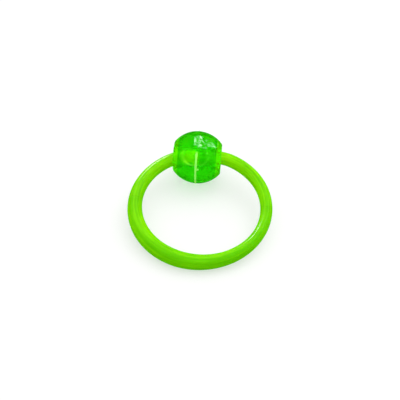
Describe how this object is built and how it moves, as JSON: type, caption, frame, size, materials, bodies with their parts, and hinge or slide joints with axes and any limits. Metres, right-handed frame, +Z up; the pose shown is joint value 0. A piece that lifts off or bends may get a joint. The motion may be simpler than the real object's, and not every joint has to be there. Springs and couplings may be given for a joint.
{
  "type": "leg band",
  "caption": "Small round flexible cord ring whose two ends meet inside a barrel bead; opened at the bead, put round a bird's leg and plugged shut again.",
  "frame": {"origin": "middle of the underside of the whole band in its resting pose, on the floor it lies on", "axes": "+Z up from the floor; +Y from the front of the ring towards the bead; +X along the bead's bore, towards the end of the cord that comes out"},
  "size_m": [0.0214, 0.0238, 0.0084],
  "materials": {
    "cord": "translucent fluorescent yellow-green soft plastic, satin gloss",
    "bead": "clear deep green hard plastic, glossy"
  },
  "bodies": {
    "fixed_band": {"band_fixed_half": "cord", "band_fixed_tip": "cord", "band_flex_zone": "cord"},
    "free_band": {"band_free_half": "cord", "band_free_tip": "cord"},
    "bead": {"bead": "bead"}
  },
  "joints": [
    {"name": "bead_spin", "type": "hinge", "parent": "fixed_band", "child": "bead", "pos_m": [-0.00119, 0.00775, 0.0042], "axis": [1, 0, 0], "continuous": true},
    {"name": "band_flex", "type": "hinge", "parent": "fixed_band", "child": "free_band", "pos_m": [0.00186, -0.01068, 0.00113], "axis": [0, 0.1642, -0.9864], "range_deg": [0, 45], "stiffness_Nm_per_rad": 0.0005, "deforming": ["band_flex_zone"]}
  ]
}
